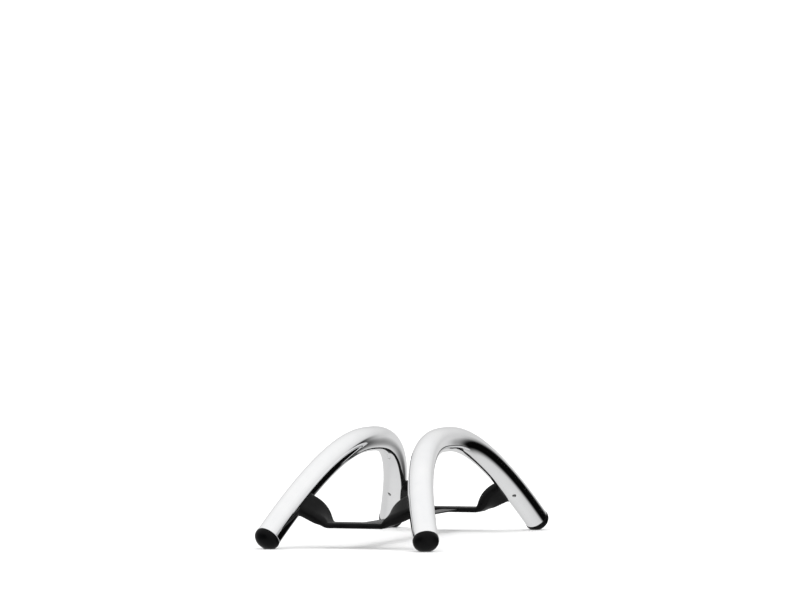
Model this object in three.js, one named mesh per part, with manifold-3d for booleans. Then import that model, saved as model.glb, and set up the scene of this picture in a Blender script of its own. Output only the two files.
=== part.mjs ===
// Vertical laptop stand: two chromed bent-tube arches that lean towards each other, joined
// low down by a soft cradle. The laptop stands on edge in the cradle, and its weight bends
// the cradle's thin living hinges, so that both arches lean in and hold it.
//
// Millimetres, +Z up. The origin is on the table under the middle of the stand, +Y runs along
// the slot that holds the laptop, towards the rear, and +X is the right-hand side.
import * as THREE from 'three';
import { mergeVertices } from 'three/addons/utils/BufferGeometryUtils.js';
import Module from 'manifold-3d';

const wasm = await Module();
wasm.setup();

// ---- Driving dimensions ----------------------------------------------------------------
const GAP = 0.3; // clearance between neighbouring solids

const TUBE_RADIUS = 6.25;
const TUBE_WALL = 1.2;
const TUBE_SIDES = 20;
const BORE_SIDES = 10;
const TUBE_STEPS = 36;

const APEX_X = 19.9; // tube centre line at the top of an arch
const APEX_Z = 50.4;
const FOOT_X = 40.1; // centre of the foot's dome
const FOOT_Y = 103.1;
const FOOT_Z = 5.1;
const SHOULDER_Y = [21, 62]; // handles that shape the bend between apex and foot
const SHOULDER_Z = [APEX_Z, 50];

const CAP_RADIUS = 6.4; // a little proud of the tube
const COLLAR = 1; // straight band of the cap between the dome and the tube's end
const DOME_HEIGHT = 4.6;
const POST_RADIUS = 2.2;
const BARB_RADIUS = 2.9;
const BARB_DEPTH = 2;
const PLUG_RADIUS = 4.5;
const PLUG_LENGTH = 11;
const PLUG_SIDES = 12;
const RIB_RADIUS = 4.7;
const RIB_COUNT = 2;
const RIB_RISE = 0.3;
const RIB_FLAT = 0.6;
const RIB_FALL = 0.9;
const PLUG_MARGIN = 1; // plain length before the first rib and after the last
const PLUG_TAPER = 0.5;
const TABLE_BLOCK = 60;

const STRAP_Y = 84; // middle of each strap of the cradle, and of its anchors in the legs
const STRAP_WIDTH = 13.5;
const SEAT_TOP = 12.4;
const SEAT_THICKNESS = 2.7;
const SEAT_MIDDLE = SEAT_TOP - SEAT_THICKNESS / 2;
const HINGE_X = 13; // living hinge between the seat and a wing
const HINGE_GAP = 0.8;

const WING_THICKNESS = 6; // at the leg
const WING_ROOT_HANDLE = 3.7; // handles that shape the wing's curve
const WING_LEG_HANDLE = 9.8;
const WING_STAND_OFF = 0.8; // where the wing's curve turns straight, outside the leg
const WING_SADDLE = 2; // how far its end would reach past that, before it is cut to the tube
const TWIST_START = 0.26; // share of the wing's length before its twist begins
const SWELL_END = 0.7; // share of its length by which it reaches its full thickness
const WING_STEPS = 10;
const EDGE_ROUNDING = 0.9; // edge radius as a share of half the band's thickness
const CORNER_POINTS = 4;

const TONGUE_WIDTH = 11;
const TONGUE_THICKNESS = 1.8;
const TONGUE_START = 0.2; // share of the wing's length before its stiff core begins
const TONGUE_LEAD = 0.03; // room ahead of the core, as the same share
const TONGUE_PAST_AXIS = 2.6;
const PIN_RADIUS = 0.9;
const PIN_SIDES = 16;
const PIN_RECESS = 0.25;
const HOLE_OVERRUN = 2; // how far a cutter for a pin hole reaches past the tube

const PLATE_THICKNESS = 0.8;
const PLATE_HALF_LENGTH = 11.2;
const PLATE_WIDTH = 9.4;
const SPINE_WIDTH = 8;

// ---- Materials ---------------------------------------------------------------------------
const finish = (color, metalness, roughness) =>
  () => new THREE.MeshStandardMaterial({ color, metalness, roughness });
const chrome = finish(0xe6e7e9, 1, 0.08);
const silicone = finish(0x1c1d1f, 0, 0.55);
const rubber = finish(0x141415, 0, 0.45);
const nylon = finish(0x2a2b2d, 0, 0.6);
const blackSteel = finish(0x26272a, 0.8, 0.45);
const pinSteel = finish(0x55575b, 1, 0.35);

// ---- Solids --------------------------------------------------------------------------------
function withSharedVertices(geometry) {
  const bare = geometry.clone();
  bare.deleteAttribute('normal');
  bare.deleteAttribute('uv');
  return mergeVertices(bare, 1e-4);
}

function toSolid(geometry) {
  const merged = withSharedVertices(geometry);
  return new wasm.Manifold(new wasm.Mesh({
    numProp: 3,
    vertProperties: new Float32Array(merged.attributes.position.array),
    triVerts: new Uint32Array(merged.index.array),
  }));
}

function toGeometry(solid) {
  const mesh = solid.getMesh();
  const geometry = new THREE.BufferGeometry();
  geometry.setAttribute('position', new THREE.BufferAttribute(mesh.vertProperties, 3));
  geometry.setIndex(new THREE.BufferAttribute(mesh.triVerts, 1));
  return geometry;
}

function cut(geometry, ...cutters) {
  let solid = toSolid(geometry);
  for (const cutter of cutters) {
    solid = solid.subtract(toSolid(cutter));
  }
  return toGeometry(solid);
}

// A closed skin over a row of rings, each a list of points in the same order.
function loft(rings) {
  const count = rings[0].length;
  const points = rings.flat();
  const index = [];
  for (let ring = 0; ring < rings.length - 1; ring += 1) {
    for (let i = 0; i < count; i += 1) {
      const a = ring * count + i;
      const b = ring * count + ((i + 1) % count);
      index.push(a, b, a + count, b, b + count, a + count);
    }
  }
  const last = (rings.length - 1) * count;
  for (let i = 1; i < count - 1; i += 1) {
    index.push(0, i + 1, i);
    index.push(last, last + i, last + i + 1);
  }
  const geometry = new THREE.BufferGeometry().setFromPoints(points);
  geometry.setIndex(index);
  return geometry;
}

// The same solid on another side of the stand.
function mirrored(geometry, side, end) {
  const copy = withSharedVertices(geometry);
  copy.scale(side, end, 1);
  if (side * end < 0) {
    const index = copy.index.array;
    for (let i = 0; i < index.length; i += 3) {
      [index[i], index[i + 1]] = [index[i + 1], index[i]];
    }
  }
  return copy;
}

// ---- The arch's centre line --------------------------------------------------------------
const LEAN = (FOOT_X - APEX_X) / (APEX_Z - FOOT_Z);

// Half of an arch, from apex to foot, in the rear right quarter of the stand.
const HALF_ARCH = new THREE.CubicBezierCurve3(
  ...[[0, APEX_Z], [SHOULDER_Y[0], SHOULDER_Z[0]], [SHOULDER_Y[1], SHOULDER_Z[1]], [FOOT_Y, FOOT_Z]]
    .map(([y, z]) => new THREE.Vector3(APEX_X + (APEX_Z - z) * LEAN, y, z)),
);

class ArchCurve extends THREE.Curve {
  constructor(reach) {
    super();
    this.reach = reach;
  }

  getPoint(t, target = new THREE.Vector3()) {
    const along = 2 * t - 1;
    HALF_ARCH.getPoint(Math.abs(along) * this.reach, target);
    target.y *= Math.sign(along);
    return target;
  }
}

// Directions at a point of the leg: down the leg, towards the laptop, and into the window.
function legFrame(t) {
  const centre = HALF_ARCH.getPoint(t);
  const down = HALF_ARCH.getTangent(t);
  const inward = new THREE.Vector3(-1, 0, -LEAN).normalize();
  const window = new THREE.Vector3().crossVectors(down, inward).normalize();
  if (window.y > 0) {
    window.negate();
  }
  return { centre, down, inward, window };
}

function legParameterAt(y) {
  const halvings = 40;
  let low = 0;
  let high = 1;
  for (let i = 0; i < halvings; i += 1) {
    const middle = (low + high) / 2;
    if (HALF_ARCH.getPoint(middle).y < y) {
      low = middle;
    } else {
      high = middle;
    }
  }
  return low;
}

function rod(curve, radius, sides, steps) {
  const circle = new THREE.Shape(
    Array.from({ length: sides }, (_, i) => {
      const angle = (2 * Math.PI * i) / sides;
      return new THREE.Vector2(radius * Math.cos(angle), radius * Math.sin(angle));
    }),
  );
  return new THREE.ExtrudeGeometry(circle, { steps, extrudePath: curve, bevelEnabled: false });
}

// ---- The wing's path -----------------------------------------------------------------------
const anchor = legFrame(legParameterAt(STRAP_Y));
const outward = anchor.inward.clone().negate();
const wingEnd = anchor.centre.clone()
  .addScaledVector(anchor.inward, TUBE_RADIUS + WING_STAND_OFF);
const wingHandle = wingEnd.clone().addScaledVector(anchor.inward, WING_LEG_HANDLE);
const WING_PATH = new THREE.CubicBezierCurve(
  new THREE.Vector2(HINGE_X, SEAT_MIDDLE),
  new THREE.Vector2(HINGE_X + WING_ROOT_HANDLE, SEAT_MIDDLE),
  new THREE.Vector2(wingHandle.x, wingHandle.z),
  new THREE.Vector2(wingEnd.x, wingEnd.z),
);
const END_TWIST = Math.acos(anchor.down.y);
const LEG_SLOPE = new THREE.Vector3(anchor.down.x, 0, anchor.down.z).normalize();

const smooth = (t) => t * t * (3 - 2 * t);
const mix = (a, b, t) => a + (b - a) * t;

// Place and directions of the wing's section: t from 0 at the seat to 1 beside the leg, and
// past 1 on a straight line into the leg. The section turns until it lines up with the leg.
function wingStation(t) {
  const inside = Math.min(t, 1);
  const flat = WING_PATH.getPoint(inside);
  const heading = WING_PATH.getTangent(inside);
  const centre = new THREE.Vector3(flat.x, STRAP_Y, flat.y);
  const ahead = new THREE.Vector3(heading.x, 0, heading.y);
  if (t > 1) {
    centre.addScaledVector(outward, (t - 1) * TUBE_RADIUS);
  }
  const twist = END_TWIST * smooth(Math.max(0, (inside - TWIST_START) / (1 - TWIST_START)));
  const across = new THREE.Vector3(0, Math.cos(twist), 0)
    .addScaledVector(LEG_SLOPE, Math.sin(twist));
  const normal = new THREE.Vector3().crossVectors(ahead, across).normalize();
  return { centre, across, normal };
}

// A flat band's section with rounded edges, lying in a station's plane.
function roundedSection(station, width, thickness) {
  const radius = (EDGE_ROUNDING * thickness) / 2;
  const corners = [[1, -1], [1, 1], [-1, 1], [-1, -1]];
  return corners.flatMap(([u, v], corner) => (
    Array.from({ length: CORNER_POINTS }, (_, i) => {
      const angle = (Math.PI / 2) * (corner - 1 + i / (CORNER_POINTS - 1));
      return station.centre.clone()
        .addScaledVector(station.across, u * (width / 2 - radius) + radius * Math.cos(angle))
        .addScaledVector(station.normal, v * (thickness / 2 - radius) + radius * Math.sin(angle));
    })
  ));
}

function flatSection(station, width, thickness) {
  return [[1, -1], [1, 1], [-1, 1], [-1, -1]].map(([u, v]) => station.centre.clone()
    .addScaledVector(station.across, (u * width) / 2)
    .addScaledVector(station.normal, (v * thickness) / 2));
}

function evenSteps(start, end, steps) {
  return Array.from({ length: steps + 1 }, (_, i) => mix(start, end, i / steps));
}

// ---- Sub-parts, in the rear right quarter ------------------------------------------------
// The stiff core of a wing, from inside the wing to past the leg's centre line. Grown, it is
// the room that the core needs.
function tongueSolid(grow) {
  const tip = 1 + (WING_STAND_OFF + TUBE_RADIUS + TONGUE_PAST_AXIS + grow) / TUBE_RADIUS;
  const steps = evenSteps(TONGUE_START, 1, WING_STEPS);
  if (grow > 0) {
    steps.unshift(TONGUE_START - TONGUE_LEAD);
  }
  return loft([...steps, tip].map((t) => flatSection(
    wingStation(t), TONGUE_WIDTH + 2 * grow, TONGUE_THICKNESS + 2 * grow)));
}

// The pin that crosses the leg and the core inside it, or, grown, the hole that it needs.
function pinSolid(grow, recess) {
  const { centre, window } = anchor;
  const head = centre.clone().addScaledVector(window, TUBE_RADIUS - recess);
  const tip = centre.clone().addScaledVector(window, -(TUBE_RADIUS - TUBE_WALL - 2 * GAP));
  return rod(new THREE.LineCurve3(head, tip), PIN_RADIUS + grow, PIN_SIDES, 1);
}

const pinHole = () => pinSolid(GAP, -HOLE_OVERRUN);

function archTube() {
  const reach = 1 - COLLAR / (3 * HALF_ARCH.v2.distanceTo(HALF_ARCH.v3));
  const outer = rod(new ArchCurve(reach), TUBE_RADIUS, TUBE_SIDES, TUBE_STEPS);
  const bore = rod(new ArchCurve(1.02), TUBE_RADIUS - TUBE_WALL, BORE_SIDES, TUBE_STEPS);
  const slot = tongueSolid(GAP);
  const hole = pinHole();
  return cut(outer, bore, slot, mirrored(slot, 1, -1), hole, mirrored(hole, 1, -1));
}

// Foot pieces are turned about the leg's axis: profile points are (radius, height up the leg)
// from the dome's centre.
function turnedOnFoot(profile, segments) {
  const { centre, down } = legFrame(1);
  const lathe = new THREE.LatheGeometry(profile.map(([r, h]) => new THREE.Vector2(r, h)), segments);
  const up = down.clone().negate();
  lathe.applyQuaternion(new THREE.Quaternion().setFromUnitVectors(new THREE.Vector3(0, 1, 0), up));
  lathe.translate(centre.x, centre.y, centre.z);
  return lathe;
}

function footCap() {
  const domeSteps = 7;
  const dome = Array.from({ length: domeSteps + 1 }, (_, i) => {
    const angle = (i / domeSteps) * (Math.PI / 2);
    return [CAP_RADIUS * Math.sin(angle), -DOME_HEIGHT * Math.cos(angle)];
  });
  dome[0][0] = 0;
  const top = COLLAR - GAP;
  const cap = turnedOnFoot([
    ...dome,
    [CAP_RADIUS, top],
    [POST_RADIUS + GAP, top],
    [POST_RADIUS + GAP, -BARB_DEPTH / 2 + GAP],
    [BARB_RADIUS + GAP, -BARB_DEPTH / 2 + GAP],
    [BARB_RADIUS + GAP, -BARB_DEPTH - GAP],
    [0, -BARB_DEPTH - GAP],
  ], TUBE_SIDES);
  const table = new THREE.BoxGeometry(TABLE_BLOCK, TABLE_BLOCK, TABLE_BLOCK);
  table.translate(FOOT_X, FOOT_Y, -TABLE_BLOCK / 2);
  return cut(cap, table);
}

function footPlug() {
  const ribPitch = (PLUG_LENGTH - 2 * PLUG_MARGIN) / RIB_COUNT;
  const ribs = Array.from({ length: RIB_COUNT }, (_, i) => {
    const base = COLLAR + PLUG_MARGIN + i * ribPitch;
    return [
      [PLUG_RADIUS, base],
      [RIB_RADIUS, base + RIB_RISE],
      [RIB_RADIUS, base + RIB_RISE + RIB_FLAT],
      [PLUG_RADIUS, base + RIB_RISE + RIB_FLAT + RIB_FALL],
    ];
  }).flat();
  return turnedOnFoot([
    [0, -BARB_DEPTH],
    [POST_RADIUS, -BARB_DEPTH],
    [BARB_RADIUS, -BARB_DEPTH / 2],
    [POST_RADIUS, -BARB_DEPTH / 2],
    [POST_RADIUS, COLLAR],
    [PLUG_RADIUS, COLLAR],
    ...ribs,
    [PLUG_RADIUS - PLUG_TAPER, COLLAR + PLUG_LENGTH],
    [0, COLLAR + PLUG_LENGTH],
  ], PLUG_SIDES);
}

function wingSkin() {
  const start = HINGE_GAP / 2 / (3 * WING_ROOT_HANDLE);
  const nearLeg = 1 + WING_SADDLE / TUBE_RADIUS;
  const thicknessAt = (t) => (
    mix(SEAT_THICKNESS, WING_THICKNESS, smooth(Math.min(1, t / SWELL_END))));
  const steps = evenSteps(start, nearLeg, WING_STEPS);
  const band = loft(steps.map((t) => roundedSection(wingStation(t), STRAP_WIDTH, thicknessAt(t))));
  const tubeRoom = rod(new ArchCurve(1), TUBE_RADIUS + GAP, TUBE_SIDES, TUBE_STEPS);
  return cut(band, tubeRoom, tongueSolid(GAP));
}

function wingTongue() {
  return cut(tongueSolid(0), pinHole());
}

// ---- The seat ----------------------------------------------------------------------------
// Outline of the seat's plate: a spine along the slot with a cross-bar in each strap.
function seatOutline(grow) {
  const bar = PLATE_WIDTH / 2 + grow;
  const half = PLATE_HALF_LENGTH + grow;
  const spine = SPINE_WIDTH / 2 + grow;
  const quarter = [
    [spine, STRAP_Y - bar],
    [half, STRAP_Y - bar],
    [half, STRAP_Y + bar],
  ];
  const right = [...quarter.map(([x, y]) => [x, -y]).reverse(), ...quarter];
  const left = right.map(([x, y]) => [-x, y]).reverse();
  return new THREE.Shape([...right, ...left].map(([x, y]) => new THREE.Vector2(x, y)));
}

function seatPlateSolid(grow) {
  const depth = PLATE_THICKNESS + 2 * grow;
  const plate = new THREE.ExtrudeGeometry(seatOutline(grow), { depth, bevelEnabled: false });
  plate.translate(0, 0, SEAT_MIDDLE - depth / 2);
  return plate;
}

function seatPad() {
  const half = HINGE_X - HINGE_GAP / 2;
  const station = (x) => ({
    centre: new THREE.Vector3(x, STRAP_Y, SEAT_MIDDLE),
    across: new THREE.Vector3(0, 1, 0),
    normal: new THREE.Vector3(0, 0, 1),
  });
  const pad = loft([-half, half].map((x) => roundedSection(station(x), STRAP_WIDTH, SEAT_THICKNESS)));
  return cut(pad, seatPlateSolid(GAP));
}

// ---- Assembly ------------------------------------------------------------------------------
function addPiece(parent, name, geometry, material) {
  const mesh = new THREE.Mesh(geometry, material());
  mesh.name = name;
  parent.add(mesh);
}

const stand = new THREE.Group();
const cradle = new THREE.Group();
stand.add(cradle);
addPiece(cradle, 'seat_plate', seatPlateSolid(0), blackSteel);

const ENDS = { front: -1, rear: 1 };
const SIDES = { left: -1, right: 1 };

const pad = seatPad();
for (const [endName, end] of Object.entries(ENDS)) {
  addPiece(cradle, `${endName}_seat_pad`, mirrored(pad, 1, end), silicone);
}

const tube = archTube();
const quarterPieces = [
  ['foot_cap', footCap(), rubber],
  ['foot_plug', footPlug(), nylon],
  ['wing', wingSkin(), silicone],
  ['wing_tongue', wingTongue(), blackSteel],
  ['retaining_pin', pinSolid(0, PIN_RECESS), pinSteel],
];
for (const [sideName, side] of Object.entries(SIDES)) {
  const arch = new THREE.Group();
  stand.add(arch);
  addPiece(arch, `${sideName}_arch_tube`, mirrored(tube, side, 1), chrome);
  for (const [endName, end] of Object.entries(ENDS)) {
    for (const [name, geometry, material] of quarterPieces) {
      addPiece(arch, `${endName}_${sideName}_${name}`, mirrored(geometry, side, end), material);
    }
  }
}

export default stand;
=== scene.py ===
"""Looks for the vertical laptop stand: chromed arches, rubber feet and a soft black cradle.

Lengths are in metres in the CAD's frame: +Z up, +Y along the laptop's slot, the origin on the
table under the middle of the stand. The shapes below repeat the CAD's driving dimensions.
"""
import math

import bmesh
import bpy
import numpy as np
from mathutils import Matrix, Vector


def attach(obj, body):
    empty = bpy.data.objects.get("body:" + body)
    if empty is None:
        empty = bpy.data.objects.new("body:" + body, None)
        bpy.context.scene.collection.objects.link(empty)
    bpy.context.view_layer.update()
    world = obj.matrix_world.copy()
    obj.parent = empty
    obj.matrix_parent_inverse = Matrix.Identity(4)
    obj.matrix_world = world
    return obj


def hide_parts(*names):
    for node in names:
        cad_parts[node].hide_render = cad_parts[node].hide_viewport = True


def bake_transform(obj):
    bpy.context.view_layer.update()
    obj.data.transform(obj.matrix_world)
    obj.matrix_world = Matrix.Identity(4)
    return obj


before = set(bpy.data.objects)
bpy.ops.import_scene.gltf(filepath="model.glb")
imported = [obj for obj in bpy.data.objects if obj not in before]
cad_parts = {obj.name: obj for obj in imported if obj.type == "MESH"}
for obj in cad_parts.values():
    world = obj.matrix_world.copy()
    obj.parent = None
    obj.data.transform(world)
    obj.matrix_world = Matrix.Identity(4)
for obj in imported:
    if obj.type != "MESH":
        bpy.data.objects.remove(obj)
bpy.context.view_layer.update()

MM = 0.001

# ---- Dimensions of the CAD model -----------------------------------------------------------
TUBE_RADIUS = 6.25 * MM
TUBE_WALL = 1.2 * MM
APEX = Vector((19.9, 0, 50.4)) * MM
FOOT = Vector((40.1, 103.1, 5.1)) * MM
SHOULDERS_YZ = ((21 * MM, 50.4 * MM), (62 * MM, 50 * MM))
CAP_RADIUS = 6.4 * MM
COLLAR = 1 * MM
DOME_HEIGHT = 4.6 * MM

STRAP_Y = 84 * MM
STRAP_WIDTH = 13.5 * MM
SEAT_TOP = 12.4 * MM
SEAT_THICKNESS = 2.7 * MM
SEAT_MIDDLE = SEAT_TOP - SEAT_THICKNESS / 2
HINGE_X = 13 * MM

WING_THICKNESS = 6 * MM
WING_ROOT_HANDLE = 3.7 * MM
WING_LEG_HANDLE = 9.8 * MM
WING_STAND_OFF = 0.8 * MM
TWIST_START = 0.26
SWELL_END = 0.7
PIN_RADIUS = 0.9 * MM
PIN_RECESS = 0.25 * MM

PLATE_THICKNESS = 0.8 * MM
PLATE_HALF_LENGTH = 11.2 * MM
PLATE_WIDTH = 9.4 * MM
SPINE_WIDTH = 8 * MM

# ---- Dimensions of the finer detail --------------------------------------------------------
TUBE_LIP = 0.3 * MM  # rounding of the tube's ends
HOLE_PLAY = 0.12 * MM  # around a pin in its hole
CAP_RIM = 0.28 * MM  # rounding of a cap's upper edge
CAP_JOINT = 0.06 * MM  # between a cap and its tube's end
PRESS_DEPTH = 0.25 * MM  # height over which the feet's rubber gives way to the table
PIN_LENGTH = 10.3 * MM
PIN_STRAIGHT = 5 * MM
PIN_TAPER = 0.2 * MM
PIN_CHAMFER = 0.18 * MM
PIN_DIMPLE_RADIUS = 0.45 * MM
PLATE_CORNER = 1.2 * MM
PLATE_EDGE = 0.2 * MM
STRAP_ROUNDING = 0.9  # share of a band's half thickness
STRAP_FLARE = 0.5 * MM  # growth of a wing's end where it meets the tube
STRAP_SINK = 0.05 * MM  # how far that end reaches into the tube's skin

SIDES = {"left": -1, "right": 1}
ENDS = {"front": -1, "rear": 1}
Y_AXIS, Z_AXIS = Vector((0, 1, 0)), Vector((0, 0, 1))


# ---- Small helpers -------------------------------------------------------------------------
def smooth(t):
    """From 0 at 0 to 1 at 1, level at both."""
    return t * t * (3 - 2 * t)


def mix(a, b, t):
    return a + (b - a) * t


def mirror(point, side, end):
    return Vector((point.x * side, point.y * end, point.z))


def circle(centre, first, second, radius, count):
    """Points about a centre, in the plane of two unit directions."""
    angles = (2 * math.pi * i / count for i in range(count))
    return [centre + (first * math.cos(a) + second * math.sin(a)) * radius for a in angles]


def bezier(handles, t):
    """The point and the direction of a cubic curve."""
    places = ((1 - t) ** 3, 3 * t * (1 - t) ** 2, 3 * t * t * (1 - t), t ** 3)
    slopes = ((1 - t) ** 2, 2 * t * (1 - t), t * t)
    steps = (b - a for a, b in zip(handles, handles[1:]))
    point = sum((h * w for h, w in zip(handles, places)), Vector())
    heading = sum((s * w for s, w in zip(steps, slopes)), Vector())
    return point, heading


def skin(rings, closed=False):
    """Points and faces of a skin over rings of points, capped unless the row is closed."""
    count = len(rings[0])
    points = [p for ring in rings for p in ring]
    faces = []
    for row in range(len(rings) if closed else len(rings) - 1):
        here = row * count
        there = (row + 1) % len(rings) * count
        for i in range(count):
            j = (i + 1) % count
            faces.append((here + i, here + j, there + j, there + i))
    if not closed:
        last = (len(rings) - 1) * count
        faces.append(tuple(reversed(range(count))))
        faces.append(tuple(last + i for i in range(count)))
    return points, faces


def make_object(name, points, faces):
    mesh = bpy.data.meshes.new(name)
    mesh.from_pydata([tuple(p) for p in points], [], faces)
    mesh.validate()
    made = bpy.data.objects.new(name, mesh)
    bpy.context.scene.collection.objects.link(made)
    shape = bmesh.new()
    shape.from_mesh(mesh)
    bmesh.ops.recalc_face_normals(shape, faces=shape.faces)
    shape.to_mesh(mesh)
    shape.free()
    return made


def shade(made, sharp_degrees):
    """Smooth shading, with every edge that turns by more than this kept sharp."""
    mesh = made.data
    mesh.polygons.foreach_set("use_smooth", [True] * len(mesh.polygons))
    shape = bmesh.new()
    shape.from_mesh(mesh)
    limit = math.radians(sharp_degrees)
    for edge in shape.edges:
        edge.smooth = len(edge.link_faces) == 2 and edge.calc_face_angle(0) < limit
    shape.to_mesh(mesh)
    shape.free()


def copy_object(source, name):
    made = source.copy()
    made.data = source.data.copy()
    made.name = name
    made.data.name = name
    bpy.context.scene.collection.objects.link(made)
    return made


def mirrored_copy(source, name, side, end):
    """A copy on another side of the stand, with its faces turned the right way."""
    made = copy_object(source, name)
    made.data.transform(Matrix.Diagonal((side, end, 1, 1)))
    if side * end < 0:
        made.data.flip_normals()
    return made


# ---- The arch's centre line ----------------------------------------------------------------
LEAN = (FOOT.x - APEX.x) / (APEX.z - FOOT.z)
PLANE_NORMAL = Vector((1, 0, LEAN)).normalized()
LEG_HANDLES = [
    Vector((APEX.x + (APEX.z - z) * LEAN, y, z))
    for y, z in ((0, APEX.z), *SHOULDERS_YZ, (FOOT.y, FOOT.z))
]


def leg_point(t):
    """A point of the rear right leg, from the apex at 0 to the foot at 1."""
    return bezier(LEG_HANDLES, t)[0]


def leg_down(t):
    return bezier(LEG_HANDLES, t)[1].normalized()


def arch_point(along):
    """A point of the right arch, from the front foot at -1 to the rear foot at 1."""
    return mirror(leg_point(abs(along)), 1, -1 if along < 0 else 1)


def arch_heading(along):
    down = leg_down(abs(along))
    return down if along >= 0 else -mirror(down, 1, -1)


def leg_parameter_at(y):
    low, high, halvings = 0.0, 1.0, 40
    for _ in range(halvings):
        middle = (low + high) / 2
        if leg_point(middle).y < y:
            low = middle
        else:
            high = middle
    return low


ANCHOR_T = leg_parameter_at(STRAP_Y)
ANCHOR = leg_point(ANCHOR_T)
ANCHOR_DOWN = leg_down(ANCHOR_T)
# Across the leg at the anchor, in the arch's plane, towards the middle of its window.
PIN_AXIS = ANCHOR_DOWN.cross(PLANE_NORMAL)


# ---- Materials -----------------------------------------------------------------------------
NOISE_LOW, NOISE_HIGH = 0.3, 0.7  # the span that nearly all of a noise's values fill
RUBBER_CLOUD_SCALE, METAL_CLOUD_SCALE = 160, 220
METAL_GRAIN = (4000, 0.01 * MM, 0.4)  # scale, height and strength
RUBBER_GRAIN_STRENGTH = 0.5
RUBBER_DUST_AT = 0.72  # the noise value at which the colour is at its lightest


def grey(level, blue=0.0):
    return (level, level, level + blue)


def new_material(name):
    material = bpy.data.materials.new(name)
    material.use_nodes = True
    tree = material.node_tree
    return material, tree.nodes, tree.links, tree.nodes["Principled BSDF"]


def noise(nodes, links, scale, detail, roughness):
    where = nodes.new("ShaderNodeTexCoord")
    texture = nodes.new("ShaderNodeTexNoise")
    texture.inputs["Scale"].default_value = scale
    texture.inputs["Detail"].default_value = detail
    texture.inputs["Roughness"].default_value = roughness
    links.new(where.outputs["Object"], texture.inputs["Vector"])
    return texture.outputs["Fac"]


def ramp(nodes, links, source, stops):
    made = nodes.new("ShaderNodeValToRGB")
    points = made.color_ramp.elements
    while len(points) < len(stops):
        points.new(0.5)
    for point, (place, colour) in zip(points, stops):
        point.position = place
        point.color = (*colour, 1)
    links.new(source, made.inputs["Fac"])
    return made.outputs["Color"]


def noise_range(nodes, links, source, low, high):
    """A noise's usual span, stretched from low to high."""
    made = nodes.new("ShaderNodeMapRange")
    made.inputs["From Min"].default_value = NOISE_LOW
    made.inputs["From Max"].default_value = NOISE_HIGH
    made.inputs["To Min"].default_value = low
    made.inputs["To Max"].default_value = high
    links.new(source, made.inputs["Value"])
    return made.outputs["Result"]


def add_bump(nodes, links, shader, height, distance, strength):
    bump = nodes.new("ShaderNodeBump")
    bump.inputs["Distance"].default_value = distance
    bump.inputs["Strength"].default_value = strength
    links.new(height, bump.inputs["Height"])
    links.new(bump.outputs["Normal"], shader.inputs["Normal"])


def chrome_material():
    """Bright chrome with a slight haze in its colour and a thin uneven film."""
    material, nodes, links, shader = new_material("bright_chrome")
    shader.inputs["Metallic"].default_value = 1
    haze = noise(nodes, links, 90, 4, 0.55)
    tint = ramp(nodes, links, haze, ((NOISE_LOW, (0.905, 0.91, 0.92)),
                                     (NOISE_HIGH, (0.94, 0.942, 0.945))))
    links.new(tint, shader.inputs["Base Color"])
    film = noise(nodes, links, 320, 5, 0.6)
    links.new(noise_range(nodes, links, film, 0.035, 0.075), shader.inputs["Roughness"])
    return material


def mottled_material(name, dark, light, rough, cloud_scale, light_at, grain):
    """A colour and roughness that vary with one cloud, over a fine raised grain."""
    material, nodes, links, shader = new_material(name)
    cloud = noise(nodes, links, cloud_scale, 4, 0.6)
    links.new(ramp(nodes, links, cloud, ((NOISE_LOW, dark), (light_at, light))),
              shader.inputs["Base Color"])
    links.new(noise_range(nodes, links, cloud, *rough), shader.inputs["Roughness"])
    grain_scale, grain_height, grain_strength = grain
    add_bump(nodes, links, shader, noise(nodes, links, grain_scale, 2, 0.5), grain_height,
             grain_strength)
    return material, shader


def soft_black(name, dark, light, gloss, rough, grain_scale, grain_height):
    """A moulded black rubber with a fine grain and a little dust in its colour."""
    material, shader = mottled_material(name, dark, light, rough, RUBBER_CLOUD_SCALE,
                                        RUBBER_DUST_AT,
                                        (grain_scale, grain_height, RUBBER_GRAIN_STRENGTH))
    shader.inputs["Specular IOR Level"].default_value = gloss
    return material


def dark_metal(name, dark, light, rough):
    material, shader = mottled_material(name, dark, light, rough, METAL_CLOUD_SCALE,
                                        NOISE_HIGH, METAL_GRAIN)
    shader.inputs["Metallic"].default_value = 0.9
    return material


CHROME = chrome_material()
SILICONE = soft_black("black_silicone", grey(0.0015, 0.0001), grey(0.0045, 0.0002), 0.11,
                      (0.36, 0.46), 5200, 0.02 * MM)
FOOT_RUBBER = soft_black("foot_rubber", grey(0.0015, 0.0002), grey(0.004, 0.0002), 0.08,
                         (0.3, 0.4), 4200, 0.014 * MM)
NYLON = soft_black("plug_nylon", grey(0.02, 0.001), grey(0.03, 0.001), 0.3, (0.45, 0.6), 3000,
                   0.02 * MM)
BLACK_STEEL = dark_metal("black_coated_steel", grey(0.02, 0.001), grey(0.035, 0.001),
                         (0.4, 0.5))
PIN_STEEL = dark_metal("ground_pin_steel", grey(0.1, 0.003), grey(0.16, 0.003), (0.3, 0.42))


def finish_piece(made, material):
    made.data.materials.clear()
    made.data.materials.append(material)


def place_on_all_legs(master, piece, material, node):
    """One copy of a rear right piece for each leg, riding on its arch."""
    for side_name, side in SIDES.items():
        for end_name, end in ENDS.items():
            made = mirrored_copy(master, f"{end_name}_{side_name}_{piece}", side, end)
            finish_piece(made, material)
            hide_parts(f"{end_name}_{side_name}_{node}")
            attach(made, f"{side_name}_arch")
    bpy.data.objects.remove(master)


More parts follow.
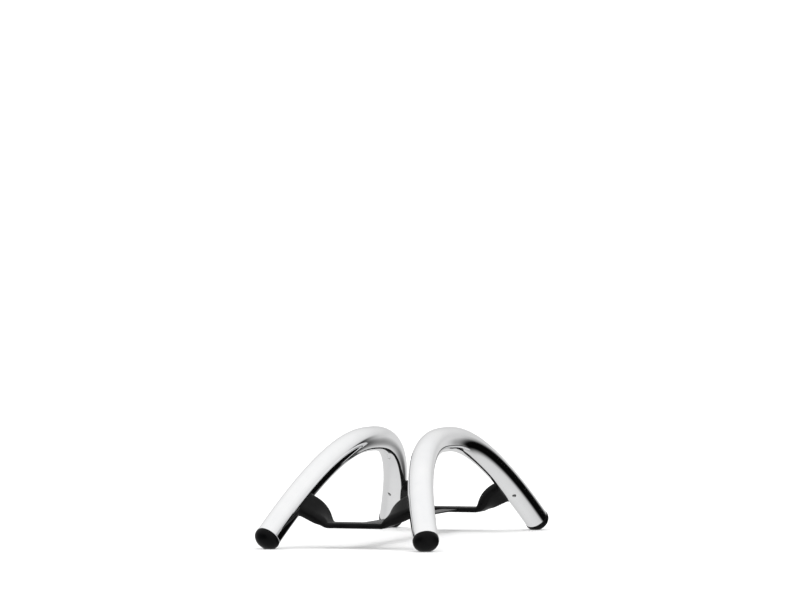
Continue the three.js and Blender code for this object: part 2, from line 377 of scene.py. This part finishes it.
# ---- Arch tubes ----------------------------------------------------------------------------
TUBE_REACH = 1 - COLLAR / (3 * (LEG_HANDLES[3] - LEG_HANDLES[2]).length)
TUBE_AROUND = 56
LIP_START = 0.006  # share of a leg that the rounded end may use
OUTER_STEPS = 220
BORE_STEPS = 90
LIP_STEPS = 6
CUTTER_AROUND = 40
CUTTER_REACH = (1.4, 0.5)  # from the leg's centre line, in tube radii
CENTRE_LINE_SAMPLES = 6001
SKIN_TOLERANCE = 0.004 * MM


def tube_ring(along, radius, push=0.0):
    """A ring about the arch's centre line, pushed along it by a length."""
    heading = arch_heading(along)
    centre = arch_point(along) + heading * push
    return circle(centre, PLANE_NORMAL, heading.cross(PLANE_NORMAL), radius, TUBE_AROUND)


def tube_lip(end):
    """Rings over the tube's rounded end, from its outside to its bore."""
    rings = []
    for step in range(LIP_STEPS + 1):
        angle = math.pi / 2 * step / LIP_STEPS
        rings.append(tube_ring(end * TUBE_REACH, TUBE_RADIUS - TUBE_LIP * (1 - math.cos(angle)),
                               -end * TUBE_LIP * (1 - math.sin(angle))))
    rings.append(tube_ring(end * TUBE_REACH, TUBE_RADIUS - TUBE_WALL))
    return rings


def arch_rings():
    reach = TUBE_REACH - LIP_START
    outside = [tube_ring(mix(-reach, reach, i / OUTER_STEPS), TUBE_RADIUS)
               for i in range(OUTER_STEPS + 1)]
    bore = [tube_ring(mix(reach, -reach, i / BORE_STEPS), TUBE_RADIUS - TUBE_WALL)
            for i in range(BORE_STEPS + 1)]
    return outside + tube_lip(1) + bore + tube_lip(-1)[::-1]


def pin_hole_cutter(end):
    """A cylinder through the wall of the leg, where the pin's end shows."""
    start, finish = (mirror(ANCHOR + PIN_AXIS * TUBE_RADIUS * share, 1, end)
                     for share in CUTTER_REACH)
    axis = (finish - start).normalized()
    first = axis.orthogonal().normalized()
    rings = [circle(centre, first, axis.cross(first), PIN_RADIUS + HOLE_PLAY,
                    CUTTER_AROUND)
             for centre in (start, finish)]
    return make_object("cutter", *skin(rings))


def cut_pin_holes(tube):
    for end in ENDS.values():
        cutter = pin_hole_cutter(end)
        boolean = tube.modifiers.new("hole", "BOOLEAN")
        boolean.operation = "DIFFERENCE"
        boolean.solver = "EXACT"
        boolean.object = cutter
        bpy.context.view_layer.update()
        evaluated = tube.evaluated_get(bpy.context.evaluated_depsgraph_get())
        cut = bpy.data.meshes.new_from_object(evaluated)
        tube.modifiers.clear()
        tube.data = cut
        bpy.data.objects.remove(cutter)


def radial_from_arch(points):
    """Each point's unit direction and distance from the arch's centre line."""
    coarse, block_size = 20, 500
    places = np.linspace(-TUBE_REACH, TUBE_REACH, CENTRE_LINE_SAMPLES)
    samples = np.array([arch_point(a) for a in places])
    headings = np.array([arch_heading(a) for a in places])
    radial = np.zeros_like(points)
    distance = np.zeros(len(points))
    for start in range(0, len(points), block_size):
        block = points[start:start + block_size]
        gaps = block[:, None, :] - samples[None, ::coarse, :]
        near = np.argmin((gaps ** 2).sum(2), axis=1) * coarse
        around = np.clip(near[:, None] + np.arange(-coarse, coarse + 1)[None, :], 0,
                         len(samples) - 1)
        fine = block[:, None, :] - samples[around]
        pick = np.argmin((fine ** 2).sum(2), axis=1)
        best = around[np.arange(len(block)), pick]
        out = block - samples[best]
        out -= headings[best] * (out * headings[best]).sum(1, keepdims=True)
        lengths = np.linalg.norm(out, axis=1)
        distance[start:start + block_size] = lengths
        radial[start:start + block_size] = out / lengths[:, None]
    return radial, distance


def true_tube_normals(tube):
    """Exact radial normals on the tube's outside, so that the chrome's reflections run true."""
    mesh = tube.data
    radial, distance = radial_from_arch(np.array([v.co for v in mesh.vertices]))
    on_skin = np.abs(distance - TUBE_RADIUS) < SKIN_TOLERANCE
    mesh.polygons.foreach_set("use_smooth", [True] * len(mesh.polygons))
    normals = [tuple(n.vector) for n in mesh.corner_normals]
    for polygon in mesh.polygons:
        corners = [mesh.loops[i].vertex_index for i in polygon.loop_indices]
        if not all(on_skin[corners]):
            continue
        outward = Vector(radial[corners].mean(0))
        faces_out = polygon.normal.dot(outward) > 0.9  # not a side of a pin's hole
        for loop, vertex in zip(polygon.loop_indices, corners):
            normals[loop] = tuple(radial[vertex]) if faces_out else tuple(polygon.normal)
    mesh.normals_split_custom_set(normals)


def mirror_with_normals(made):
    """Mirrors a mesh in X and keeps its custom normals."""
    mesh = made.data
    kept = {}
    for polygon in mesh.polygons:
        for loop in polygon.loop_indices:
            vector = mesh.corner_normals[loop].vector
            kept[(polygon.index, mesh.loops[loop].vertex_index)] = (-vector.x, vector.y, vector.z)
    mesh.transform(Matrix.Diagonal((-1, 1, 1, 1)))
    mesh.flip_normals()
    normals = [None] * len(mesh.loops)
    for polygon in mesh.polygons:
        for loop in polygon.loop_indices:
            normals[loop] = kept[(polygon.index, mesh.loops[loop].vertex_index)]
    mesh.normals_split_custom_set(normals)


def build_arches():
    right = make_object("right_arch", *skin(arch_rings(), closed=True))
    cut_pin_holes(right)
    left = copy_object(right, "left_arch")
    true_tube_normals(right)
    true_tube_normals(left)
    mirror_with_normals(left)
    for made, side_name in ((right, "right"), (left, "left")):
        finish_piece(made, CHROME)
        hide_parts(f"{side_name}_arch_tube")
        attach(made, f"{side_name}_arch")


# ---- Feet ----------------------------------------------------------------------------------
CAP_AROUND = 64
CAP_HOLE_RADIUS = 2 * MM  # where the cap's upper face ends, out of sight


def foot_profile():
    """Radius and height up the leg, from the dome's tip to the face under the tube."""
    tip_radius, dome_steps, rim_steps = 0.05 * MM, 28, 6
    top = COLLAR - CAP_JOINT
    profile = []
    for i in range(dome_steps + 1):
        angle = math.pi / 2 * i / dome_steps
        profile.append((max(tip_radius, CAP_RADIUS * math.sin(angle)),
                        -DOME_HEIGHT * math.cos(angle)))
    for i in range(rim_steps + 1):
        angle = math.pi / 2 * i / rim_steps
        profile.append((CAP_RADIUS - CAP_RIM * (1 - math.cos(angle)),
                        top - CAP_RIM * (1 - math.sin(angle))))
    profile.append((TUBE_RADIUS - TUBE_WALL, top))
    profile.append((CAP_HOLE_RADIUS, top))
    return profile


def press_on_table(point):
    """Rubber meets the table: what would reach below it is pressed flat."""
    if point.z >= PRESS_DEPTH:
        return point
    depth = (PRESS_DEPTH - point.z) / PRESS_DEPTH
    return Vector((point.x, point.y, PRESS_DEPTH * math.exp(-depth) if depth < 3 else 0))


def build_feet():
    down = leg_down(1)
    second = down.cross(PLANE_NORMAL)
    rings = [circle(FOOT - down * height, PLANE_NORMAL, second, radius, CAP_AROUND)
             for radius, height in foot_profile()]
    rings = [[press_on_table(p) for p in ring] for ring in rings]
    master = make_object("foot_master", *skin(rings))
    shade(master, 50)
    place_on_all_legs(master, "foot", FOOT_RUBBER, "foot_cap")


# ---- Straps --------------------------------------------------------------------------------
END_TWIST = math.acos(ANCHOR_DOWN.y)
LEG_SLOPE = Vector((ANCHOR_DOWN.x, 0, ANCHOR_DOWN.z)).normalized()
WING_END = ANCHOR - PLANE_NORMAL * (TUBE_RADIUS + WING_STAND_OFF)
WING_HANDLES = [
    Vector((HINGE_X, 0, SEAT_MIDDLE)),
    Vector((HINGE_X + WING_ROOT_HANDLE, 0, SEAT_MIDDLE)),
    WING_END - PLANE_NORMAL * WING_LEG_HANDLE,
    WING_END,
]
SEAT_STEPS = 14
WING_STEPS = 70
FLARE_STEPS = 8


def wing_station(t):
    """Centre, width direction and face normal of a wing: 0 at the hinge, 1 by the leg."""
    flat, heading = bezier(WING_HANDLES, t)
    heading.y = 0
    heading.normalize()
    centre = Vector((flat.x, STRAP_Y, flat.z))
    twist = END_TWIST * smooth(max(0, (t - TWIST_START) / (1 - TWIST_START)))
    across = Y_AXIS * math.cos(twist) + LEG_SLOPE * math.sin(twist)
    return centre, across, heading.cross(across).normalized()


def band_section(centre, across, normal, width, thickness):
    """A flat band's section with rounded edges."""
    radius = STRAP_ROUNDING * thickness / 2
    half_face = width / 2 - radius
    arc_steps, face_steps = 8, 10
    points = []
    for corner, (u, v) in enumerate(((1, -1), (1, 1), (-1, 1), (-1, -1))):
        for i in range(arc_steps + 1):
            angle = math.pi / 2 * (corner - 1 + i / arc_steps)
            points.append((u * half_face + radius * math.cos(angle),
                           v * (thickness / 2 - radius) + radius * math.sin(angle)))
        if corner in (1, 3):
            for i in range(1, face_steps):
                points.append((u * half_face * mix(1, -1, i / face_steps), v * thickness / 2))
    return [centre + across * u + normal * v for u, v in points]


def wing_thickness(t):
    return mix(SEAT_THICKNESS, WING_THICKNESS, smooth(min(1, t / SWELL_END)))


def onto_tube(point):
    """Slides a point of a wing's end towards the leg until it meets the leg's surface."""
    refinements = 3
    for _ in range(refinements):
        along = (point - ANCHOR).dot(ANCHOR_DOWN)
        t = leg_parameter_at(ANCHOR.y + along * ANCHOR_DOWN.y)
        axis = leg_down(t)
        gap = point - leg_point(t)
        gap -= axis * gap.dot(axis)
        run = PLANE_NORMAL - axis * PLANE_NORMAL.dot(axis)
        a = run.dot(run)
        b = 2 * gap.dot(run)
        c = gap.dot(gap) - (TUBE_RADIUS - STRAP_SINK) ** 2
        root = b * b - 4 * a * c
        if root <= 0:
            return point
        point = point + PLANE_NORMAL * ((-b - math.sqrt(root)) / (2 * a))
    return point


def half_strap_rings():
    """Rings from the middle of the seat to the leg, for the rear right quarter."""
    rings = []
    for i in range(SEAT_STEPS):
        centre = Vector((HINGE_X * i / SEAT_STEPS, STRAP_Y, SEAT_MIDDLE))
        rings.append(band_section(centre, Y_AXIS, Z_AXIS, STRAP_WIDTH, SEAT_THICKNESS))
    for i in range(WING_STEPS + 1):
        t = i / WING_STEPS
        rings.append(band_section(*wing_station(t), STRAP_WIDTH, wing_thickness(t)))
    station = wing_station(1)
    for i in range(1, FLARE_STEPS + 1):
        share = i / FLARE_STEPS
        grow = 2 * STRAP_FLARE * share ** 3
        ring = band_section(*station, STRAP_WIDTH + grow, WING_THICKNESS + grow)
        rings.append([p.lerp(onto_tube(p), share) for p in ring])
    return rings


def build_straps():
    master = make_object("strap_master", *skin(half_strap_rings()))
    shade(master, 60)
    for side_name, side in SIDES.items():
        for end_name, end in ENDS.items():
            made = mirrored_copy(master, f"{end_name}_{side_name}_strap", side, end)
            finish_piece(made, SILICONE)
            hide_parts(f"{end_name}_{side_name}_wing", f"{end_name}_seat_pad")
            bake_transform(made)
    bpy.data.objects.remove(master)


# ---- Seat plate, pins and hidden pieces ----------------------------------------------------
PIN_AROUND = 32


def bevel(shape, edges, offset, segments):
    bmesh.ops.bevel(shape, geom=edges, offset=offset, segments=segments, profile=0.5,
                    affect="EDGES")


def build_seat_plate():
    bar = PLATE_WIDTH / 2
    corner = [(SPINE_WIDTH / 2, STRAP_Y - bar), (PLATE_HALF_LENGTH, STRAP_Y - bar),
              (PLATE_HALF_LENGTH, STRAP_Y + bar)]
    right = [(x, -y) for x, y in reversed(corner)] + corner
    outline = right + [(-x, y) for x, y in reversed(right)]
    levels = (SEAT_MIDDLE - PLATE_THICKNESS / 2, SEAT_MIDDLE + PLATE_THICKNESS / 2)
    rings = [[Vector((x, y, z)) for x, y in outline] for z in levels]
    plate = make_object("seat_spine_plate", *skin(rings))
    shape = bmesh.new()
    shape.from_mesh(plate.data)
    upright = [e for e in shape.edges
               if abs((e.verts[0].co - e.verts[1].co).z) > PLATE_THICKNESS / 2]
    bevel(shape, upright, PLATE_CORNER, 6)
    rims = [e for e in shape.edges
            if len(e.link_faces) == 2 and e.calc_face_angle(0) > math.radians(60)]
    bevel(shape, rims, PLATE_EDGE, 4)
    shape.to_mesh(plate.data)
    shape.free()
    shade(plate, 40)
    finish_piece(plate, BLACK_STEEL)
    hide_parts("seat_plate")
    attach(plate, "cradle")


def build_pins():
    """Pins with a chamfered, dimpled end that sits just below the chrome."""
    tip_radius = 0.02 * MM
    profile = (
        (tip_radius, -0.18 * MM), (PIN_DIMPLE_RADIUS - 0.1 * MM, -0.05 * MM),
        (PIN_DIMPLE_RADIUS, 0), (PIN_RADIUS - PIN_CHAMFER, 0), (PIN_RADIUS, -PIN_CHAMFER),
        (PIN_RADIUS, -PIN_STRAIGHT), (PIN_RADIUS - PIN_TAPER, -PIN_LENGTH),
        (tip_radius, -PIN_LENGTH),
    )
    face = ANCHOR + PIN_AXIS * (TUBE_RADIUS - PIN_RECESS)
    first = PIN_AXIS.orthogonal().normalized()
    rings = [circle(face + PIN_AXIS * depth, first, PIN_AXIS.cross(first), radius,
                    PIN_AROUND)
             for radius, depth in profile]
    master = make_object("pin_master", *skin(rings))
    shade(master, 30)
    place_on_all_legs(master, "pin", PIN_STEEL, "retaining_pin")


def finish_hidden_nodes():
    for name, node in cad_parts.items():
        if name.endswith("foot_plug"):
            finish_piece(node, NYLON)
        elif name.endswith("wing_tongue"):
            finish_piece(node, BLACK_STEEL)


# ---- Studio --------------------------------------------------------------------------------
CAMERA_PLACE = (0.6279, -2.0928, 0.1230)
CAMERA_TURN = 16.80  # degrees about the vertical
CAMERA_LENS = 194.7
CAMERA_SHIFT_Y = -0.0059
FLOOR_HALF = 6.0
FLOOR_LEVEL = -0.02 * MM

PLAIN_STRENGTH = 1.55  # the even light that falls on everything but gloss
# What the gloss sees: brightness by elevation, in degrees.
GLOW = ((-90, 0.76), (-52, 0.72), (-38, 0.66), (-15, 0.66), (2, 0.70), (11, 0.66), (22, 0.82),
        (38, 0.94), (60, 1.0))
# The dark gap in that glow. Azimuths run from +Y towards +X, in degrees.
GAP_DARKNESS = 0.997
GAP_NEAR_AZIMUTH = 21  # down to GAP_SLANT_FROM, below which the near border slants away
GAP_SLANT_FROM = 3
GAP_SLANT = 0.69
GAP_NEAR_LEAST = 8
GAP_NEAR_SOFTNESS = (-9, 10)
GAP_FAR_AZIMUTHS = (92, 108)
GAP_RISE_FROM = 55  # the azimuth past which the lower border rises
GAP_RISE = 0.15
GAP_LOWER_ELEVATIONS = (-43, -22)
GAP_UPPER_ELEVATIONS = (8, 15)
GAP_MIRROR = -80  # the sum of an azimuth and its mirror image on the left


def add_camera():
    data = bpy.data.cameras.new("camera")
    data.sensor_width = 36
    data.lens = CAMERA_LENS
    data.shift_y = CAMERA_SHIFT_Y
    data.clip_start = 0.05
    camera = bpy.data.objects.new("camera", data)
    camera.location = CAMERA_PLACE
    camera.rotation_euler = (math.radians(90), 0, math.radians(CAMERA_TURN))
    bpy.context.scene.collection.objects.link(camera)
    bpy.context.scene.camera = camera


def add_floor():
    corners = [(x * FLOOR_HALF, y * FLOOR_HALF, FLOOR_LEVEL)
               for x, y in ((-1, -1), (1, -1), (1, 1), (-1, 1))]
    floor = make_object("floor", corners, [(0, 1, 2, 3)])
    material, nodes, links, shader = new_material("pale_floor")
    tint = ramp(nodes, links, noise(nodes, links, 3, 2, 0.5),
                ((NOISE_LOW, grey(0.86)), (NOISE_HIGH, grey(0.87))))
    links.new(tint, shader.inputs["Base Color"])
    shader.inputs["Roughness"].default_value = 0.9
    shader.inputs["Specular IOR Level"].default_value = 0.1
    floor.data.materials.append(material)
    floor.visible_glossy = False


class WorldMaths:
    """Arithmetic on the world's direction, as nodes."""

    def __init__(self, tree):
        self.nodes = tree.nodes
        self.links = tree.links

    def math(self, operation, *values):
        node = self.nodes.new("ShaderNodeMath")
        node.operation = operation
        for socket, value in zip(node.inputs, values):
            if isinstance(value, (int, float)):
                socket.default_value = value
            else:
                self.links.new(value, socket)
        return node.outputs[0]

    def add(self, a, b):
        return self.math("ADD", a, b)

    def subtract(self, a, b):
        return self.math("SUBTRACT", a, b)

    def times(self, a, b):
        return self.math("MULTIPLY", a, b)

    def rise(self, value, low, high):
        """Smoothly from 0 below low to 1 above high."""
        node = self.nodes.new("ShaderNodeMapRange")
        node.interpolation_type = "SMOOTHSTEP"
        node.inputs["From Min"].default_value = low
        node.inputs["From Max"].default_value = high
        self.links.new(value, node.inputs["Value"])
        return node.outputs["Result"]

    def fall(self, value, low, high):
        return self.subtract(1, self.rise(value, low, high))

    def dark_gap(self, azimuth, elevation):
        """1 in the unlit gap between the floor's glow and the side wall."""
        slant = self.times(self.math("MINIMUM", self.subtract(elevation, GAP_SLANT_FROM), 0),
                           GAP_SLANT)
        near = self.math("MAXIMUM", self.add(GAP_NEAR_AZIMUTH, slant), GAP_NEAR_LEAST)
        lift = self.times(self.subtract(azimuth, GAP_RISE_FROM), GAP_RISE)
        above = self.subtract(elevation, self.math("MAXIMUM", lift, 0))
        sides = self.times(self.rise(self.subtract(azimuth, near), *GAP_NEAR_SOFTNESS),
                           self.fall(azimuth, *GAP_FAR_AZIMUTHS))
        heights = self.times(self.rise(above, *GAP_LOWER_ELEVATIONS),
                             self.fall(elevation, *GAP_UPPER_ELEVATIONS))
        return self.times(sides, heights)


def gloss_light(tree):
    """The colour that gloss sees in each direction: a glow with a dark gap on each side."""
    maths = WorldMaths(tree)
    where = tree.nodes.new("ShaderNodeTexCoord")
    split = tree.nodes.new("ShaderNodeSeparateXYZ")
    tree.links.new(where.outputs["Generated"], split.inputs[0])
    x, y, z = split.outputs
    degrees = math.degrees(1)
    azimuth = maths.times(maths.math("ARCTAN2", x, y), degrees)
    elevation = maths.times(maths.math("ARCSINE", z), degrees)
    level = maths.add(maths.math("DIVIDE", elevation, 180), 0.5)
    glow = ramp(tree.nodes, tree.links, level,
                [((angle + 90) / 180, grey(brightness)) for angle, brightness in GLOW])
    dark = maths.math("MAXIMUM", maths.dark_gap(azimuth, elevation),
                      maths.dark_gap(maths.subtract(GAP_MIRROR, azimuth), elevation))
    scaled = tree.nodes.new("ShaderNodeVectorMath")
    scaled.operation = "SCALE"
    tree.links.new(glow, scaled.inputs[0])
    tree.links.new(maths.subtract(1, maths.times(dark, GAP_DARKNESS)), scaled.inputs["Scale"])
    return scaled.outputs[0]


def add_world():
    """A plain white studio, where only the gloss sees the dark gaps."""
    world = bpy.data.worlds.new("studio")
    bpy.context.scene.world = world
    world.use_nodes = True
    tree = world.node_tree
    tree.nodes.clear()
    gloss = tree.nodes.new("ShaderNodeBackground")
    tree.links.new(gloss_light(tree), gloss.inputs["Color"])
    plain = tree.nodes.new("ShaderNodeBackground")
    plain.inputs["Color"].default_value = (1, 1, 1, 1)
    plain.inputs["Strength"].default_value = PLAIN_STRENGTH
    path = tree.nodes.new("ShaderNodeLightPath")
    choose = tree.nodes.new("ShaderNodeMixShader")
    tree.links.new(path.outputs["Is Glossy Ray"], choose.inputs[0])
    tree.links.new(plain.outputs[0], choose.inputs[1])
    tree.links.new(gloss.outputs[0], choose.inputs[2])
    out = tree.nodes.new("ShaderNodeOutputWorld")
    tree.links.new(choose.outputs[0], out.inputs["Surface"])


def main():
    bpy.context.scene.view_settings.view_transform = "Standard"
    add_camera()
    add_floor()
    add_world()
    build_arches()
    build_feet()
    build_straps()
    build_seat_plate()
    build_pins()
    finish_hidden_nodes()


main()
